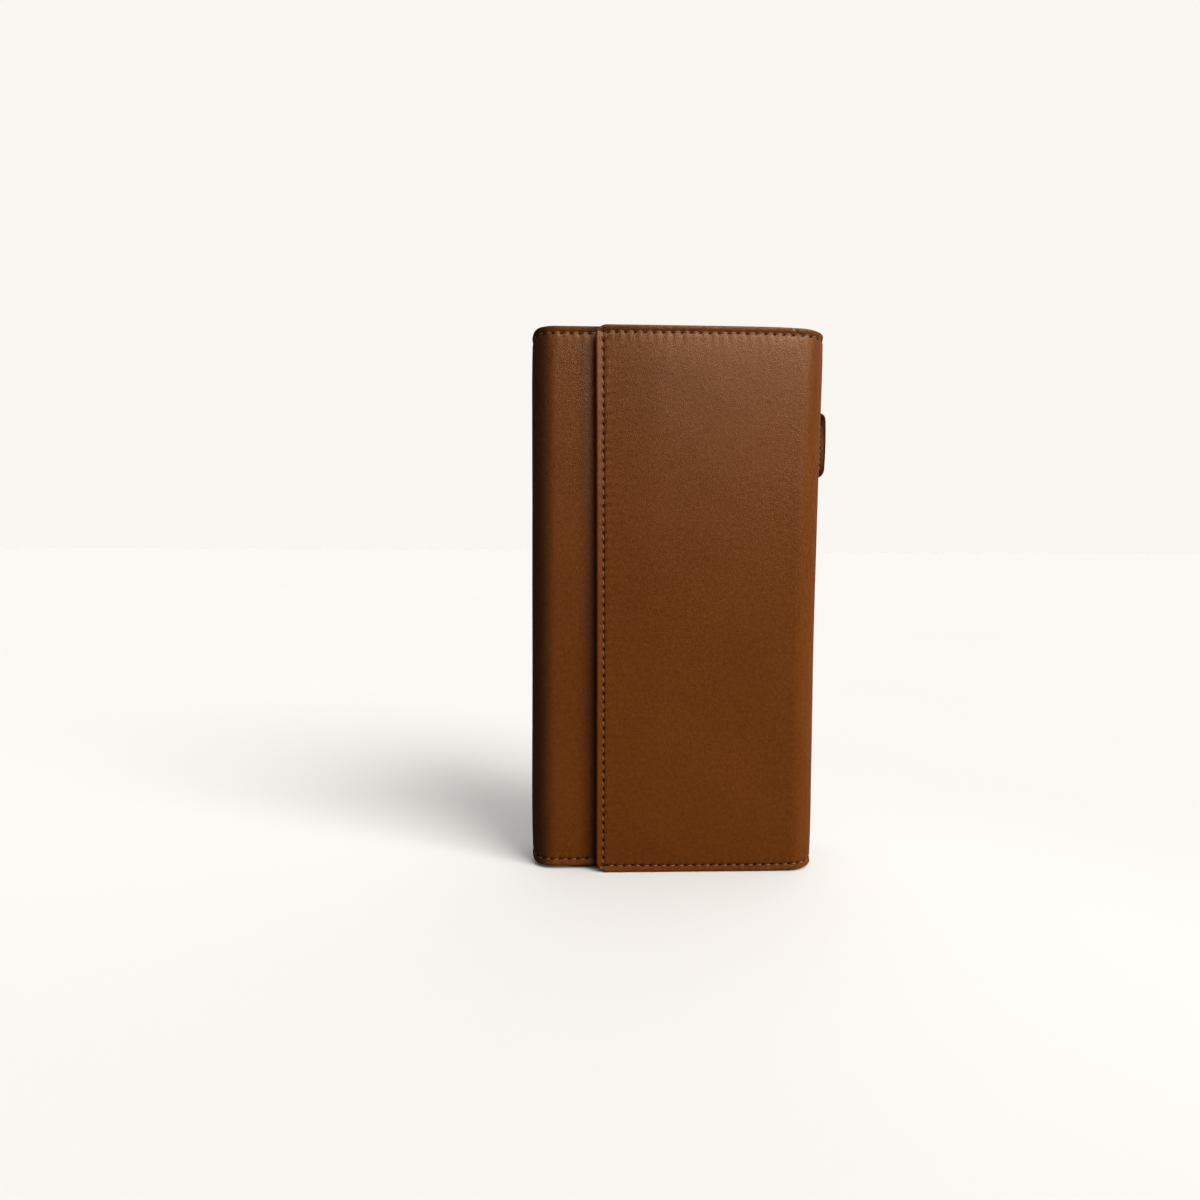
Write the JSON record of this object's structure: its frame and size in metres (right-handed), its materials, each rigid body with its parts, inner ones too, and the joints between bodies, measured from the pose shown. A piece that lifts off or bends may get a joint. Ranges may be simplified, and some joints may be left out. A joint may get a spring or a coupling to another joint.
{
  "type": "long wallet",
  "caption": "Long flap wallet with fanning front, divider, nested card pockets, pleated gussets and a zipped coin pocket behind, standing on one short end.",
  "frame": {"origin": "centre of the base on which the wallet stands on one short end", "axes": "+Z along the long side, -Y out of the flap's face, +X from the bottom fold to the spine"},
  "size_m": [0.1074, 0.0269, 0.19],
  "materials": {
    "outer_leather": "smooth tan calf leather with a satin sheen, dark painted edges",
    "lining_leather": "thin matt tan lining leather",
    "board": "plain stiffening board",
    "zip_tape": "brown woven zip tape",
    "zip_metal": "polished antique brass",
    "snap_metal": "polished brass"
  },
  "bodies": {
    "back": {"back_leather": "outer_leather", "back_board": "board", "back_lining": "lining_leather", "back_card_pocket_1": "lining_leather", "back_card_pocket_2": "lining_leather", "back_card_pocket_3": "lining_leather", "back_card_pocket_4": "lining_leather", "back_gusset_leaves": "lining_leather", "coin_pocket_leather": "outer_leather", "coin_pocket_lip": "outer_leather", "coin_pocket_ends": "lining_leather", "zip_tape_back": "zip_tape", "zip_tape_front": "zip_tape", "zip_teeth_back": "zip_metal", "zip_teeth_front": "zip_metal", "zip_top_stops": "zip_metal", "zip_bottom_stop": "zip_metal"},
    "spine_1": {"spine_strip_1": "outer_leather"},
    "spine_2": {"spine_strip_2": "outer_leather"},
    "spine_3": {"spine_strip_3": "outer_leather"},
    "spine_4": {"spine_strip_4": "outer_leather"},
    "flap": {"flap_leather": "outer_leather", "flap_board": "board", "flap_lining": "lining_leather", "snap_stud": "snap_metal"},
    "divider": {"divider_back_ply": "lining_leather", "divider_front_ply": "lining_leather", "divider_gusset_leaves": "lining_leather"},
    "front": {"front_leather": "outer_leather", "front_board": "board", "front_lining": "lining_leather", "front_card_pocket_1": "lining_leather", "front_card_pocket_2": "lining_leather", "front_card_pocket_3": "lining_leather", "front_card_pocket_4": "lining_leather", "front_gusset_leaves": "lining_leather", "snap_socket": "snap_metal"},
    "slider": {"zip_slider": "zip_metal"},
    "puller": {"puller_ring": "zip_metal", "puller_tab": "outer_leather"}
  },
  "joints": [
    {"name": "flap_fold", "type": "hinge", "parent": "back", "child": "spine_1", "pos_m": [0.0386, 0.00535, 0], "axis": [0, 0, 1], "range_deg": [0, 22.5]},
    {"name": "spine_bend_1", "type": "hinge", "parent": "spine_1", "child": "spine_2", "pos_m": [0.04532, 0.00257, 0], "axis": [0, 0, 1], "range_deg": [0, 45]},
    {"name": "spine_bend_2", "type": "hinge", "parent": "spine_2", "child": "spine_3", "pos_m": [0.0481, -0.00415, 0], "axis": [0, 0, 1], "range_deg": [0, 45]},
    {"name": "spine_bend_3", "type": "hinge", "parent": "spine_3", "child": "spine_4", "pos_m": [0.04532, -0.01087, 0], "axis": [0, 0, 1], "range_deg": [0, 45]},
    {"name": "flap_edge_fold", "type": "hinge", "parent": "spine_4", "child": "flap", "pos_m": [0.0386, -0.01365, 0], "axis": [0, 0, 1], "range_deg": [0, 22.5]},
    {"name": "divider_fan", "type": "hinge", "parent": "back", "child": "divider", "pos_m": [-0.0529, -0.00255, 0], "axis": [0, 0, -1], "range_deg": [0, 10]},
    {"name": "front_fan", "type": "hinge", "parent": "divider", "child": "front", "pos_m": [-0.0529, -0.00255, 0], "axis": [0, 0, -1], "range_deg": [0, 10]},
    {"name": "zip_slide", "type": "slide", "parent": "back", "child": "slider", "axis": [0, 0, 1], "range_m": [-0.1375, 0]},
    {"name": "puller_swing", "type": "hinge", "parent": "slider", "child": "puller", "pos_m": [0.05125, 0.00955, 0.17265], "axis": [0, -1, 0], "range_deg": [0, 150]}
  ],
  "couplings": [
    {"joint": "spine_bend_1", "follows": "flap_fold", "ratio": 2},
    {"joint": "spine_bend_2", "follows": "flap_fold", "ratio": 2},
    {"joint": "spine_bend_3", "follows": "flap_fold", "ratio": 2},
    {"joint": "flap_edge_fold", "follows": "flap_fold", "ratio": 1},
    {"joint": "divider_fan", "follows": "flap_fold", "ratio": 0.444},
    {"joint": "front_fan", "follows": "flap_fold", "ratio": 0.444}
  ]
}
